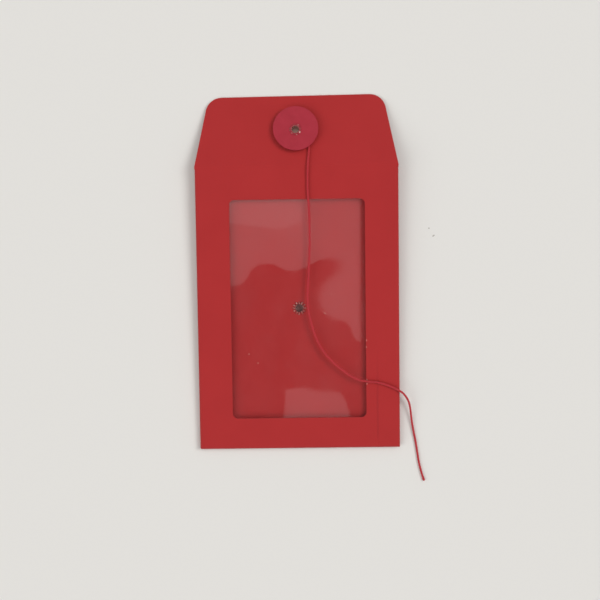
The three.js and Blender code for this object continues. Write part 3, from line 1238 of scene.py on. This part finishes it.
UPPER_RIM = (
    (8.9, 76.6, 8.9, 76.2), (13.5, 77.8, 11.8, 76.6), (18.2, 77.4, 13.8, 75.2),
    (20.8, 74.6, 13.9, 73.0), (19.2, 71.6, 12.2, 71.2), (15.6, 69.4, 10.2, 69.4),
    (12.4, 66.8, 8.4, 67.4), (10.6, 64.2, 7.2, 64.6), (9.8, 61.0, 6.8, 60.8),
    (10.0, 57.7, 7.6, 57.0), (11.3, 55.2, 9.9, 54.3), (13.9, 52.9, 13.1, 52.0),
    (18.6, 51.8, 18.5, 51.3),
)
UPPER_CARD = OverheadCard("upper_card", (
    (-36, 66), (-26.4, 66.3), (-22.5, 66.8), (-20.2, 69.5), (-18.7, 72.6), (-15.1, 75.0),
    (-10.3, 74.9), (-5.1, 72.6), (-2, 71.9), (0.9, 72.6), (4.9, 74.3),
    *(edge[:2] for edge in UPPER_RIM), (21.1, 48.4), (22.3, 44.5), (24.8, 43.0), (25.0, 70.0),
    (25.2, 97.0), (25.0, 112), (-36, 112),
), 0.95, rim=UPPER_RIM)
CORNER_CARD = OverheadCard("corner_card", (
    (-36, 91.8), (-26.7, 91.5), (-16.8, 90.2), (-6.8, 88.8), (-2.0, 90.0), (2.0, 91.9),
    (2.6, 98.2), (3.5, 112), (-36, 112),
), 1.5, rise=-0.002)
LOWER_CARD = OverheadCard("lower_card", (
    (-6.5, 4), (-6.2, 14), (-5.8, 24.4), (2.3, 25.1), (6.3, 23.6), (11, 23.3), (16.4, 22.9),
    (18.8, 19.6), (20.3, 13.0), (21, 4),
), 0.92)


@dataclass
class Room:
    """The plain light around the table, by the height that it comes from, as the Z of its ray."""

    colour: Colour = (1.0, 0.995, 0.985)
    sides: Span = (0.40, 0.75)
    sides_light: Span = (0.30, 0.83)
    overhead: Span = (0.84, 0.93)
    overhead_light: Span = (1.0, 0.45)
    mirrored: Span = (0.80, 0.94)
    mirrored_light: Span = (0.60, 0.03)
    seen: float = 0.76

    def build(self) -> None:
        """Fills the room with light, dark overhead only for what mirrors it."""
        world = bpy.data.worlds.new("studio")
        bpy.context.scene.world = world
        world.use_nodes = True
        world.node_tree.nodes.clear()
        tree = Tree(world)
        height = tree.axes(tree.add("TexCoord").outputs["Generated"])["Z"]
        rays = tree.add("LightPath").outputs
        light = tree.times(tree.spread(height, self.sides, self.sides_light),
                           tree.spread(height, self.overhead, self.overhead_light))
        mirrored = tree.spread(height, self.mirrored, self.mirrored_light)
        light = tree.mix(Mix.NUMBER, rays[Ray.GLOSSY.value], light, mirrored)
        light = tree.mix(Mix.NUMBER, rays[Ray.CAMERA.value], light, self.seen)
        glow = tree.add("Background", Color=(*self.colour, 1))
        tree.link(light, glow.inputs["Strength"])
        tree.link(glow.outputs[0], tree.add("OutputWorld").inputs["Surface"])


@dataclass
class Studio:
    """The camera, the pale table, the lamps, and the cards that the film mirrors."""

    eye: Point = (0.00441, 0.01471, 0.44412)
    right: Point = (0.9998829, -0.0133007, -0.0075698)
    up: Point = (0.0128407, 0.9982412, -0.0578757)
    back: Point = (0.0083263, 0.0577718, 0.9982951)
    lens: float = 66.0
    sensor: float = 36.0
    nearest: float = 0.01
    table_half_width: float = 6.0
    table: TableFinish = field(default_factory=TableFinish)
    lamps: tuple[Lamp, ...] = (Lamp("key", 20, 48, 27, 0.25), Lamp("fill", 205, 34, 42, 0.13))
    cards: tuple[OverheadCard, ...] = (UPPER_CARD, CORNER_CARD, LOWER_CARD)
    room: Room = field(default_factory=Room)

    def camera(self) -> None:
        """Sets the camera above the envelope, as the photograph has it."""
        data = bpy.data.cameras.new("camera")
        data.lens = self.lens
        data.sensor_width = self.sensor
        data.clip_start = self.nearest
        made = bpy.data.objects.new("camera", data)
        bpy.context.scene.collection.objects.link(made)
        columns = Matrix((self.right, self.up, self.back)).transposed()
        made.matrix_world = Matrix.Translation(self.eye) @ columns.to_4x4()
        bpy.context.scene.camera = made

    def floor(self) -> None:
        """Lays the table."""
        shape = bmesh.new()
        bmesh.ops.create_grid(shape, x_segments=1, y_segments=1, size=self.table_half_width)
        as_object("table", shape, self.table.material(), smooth=False)

    def light(self) -> None:
        """Lays the table and lights it."""
        self.floor()
        for lamp in self.lamps:
            lamp.hang()
        for card in self.cards:
            card.hang(self.eye)
        self.room.build()
        bpy.context.scene.view_settings.view_transform = "Standard"
        LOG.info("studio: table, %d lamps, %d cards", len(self.lamps), len(self.cards))


def main() -> None:
    """Builds the camera, the string, the stage and every other piece."""
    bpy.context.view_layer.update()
    logging.basicConfig(level=logging.INFO, format="%(message)s")
    random.seed(SEED)
    studio = Studio()
    studio.camera()
    TieString().build()
    studio.light()
    FoldedCard().dress()
    WindowFilm().build()
    DustFlecks().build()
    WasherTie().dress()


if __name__ == "__main__":
    main()
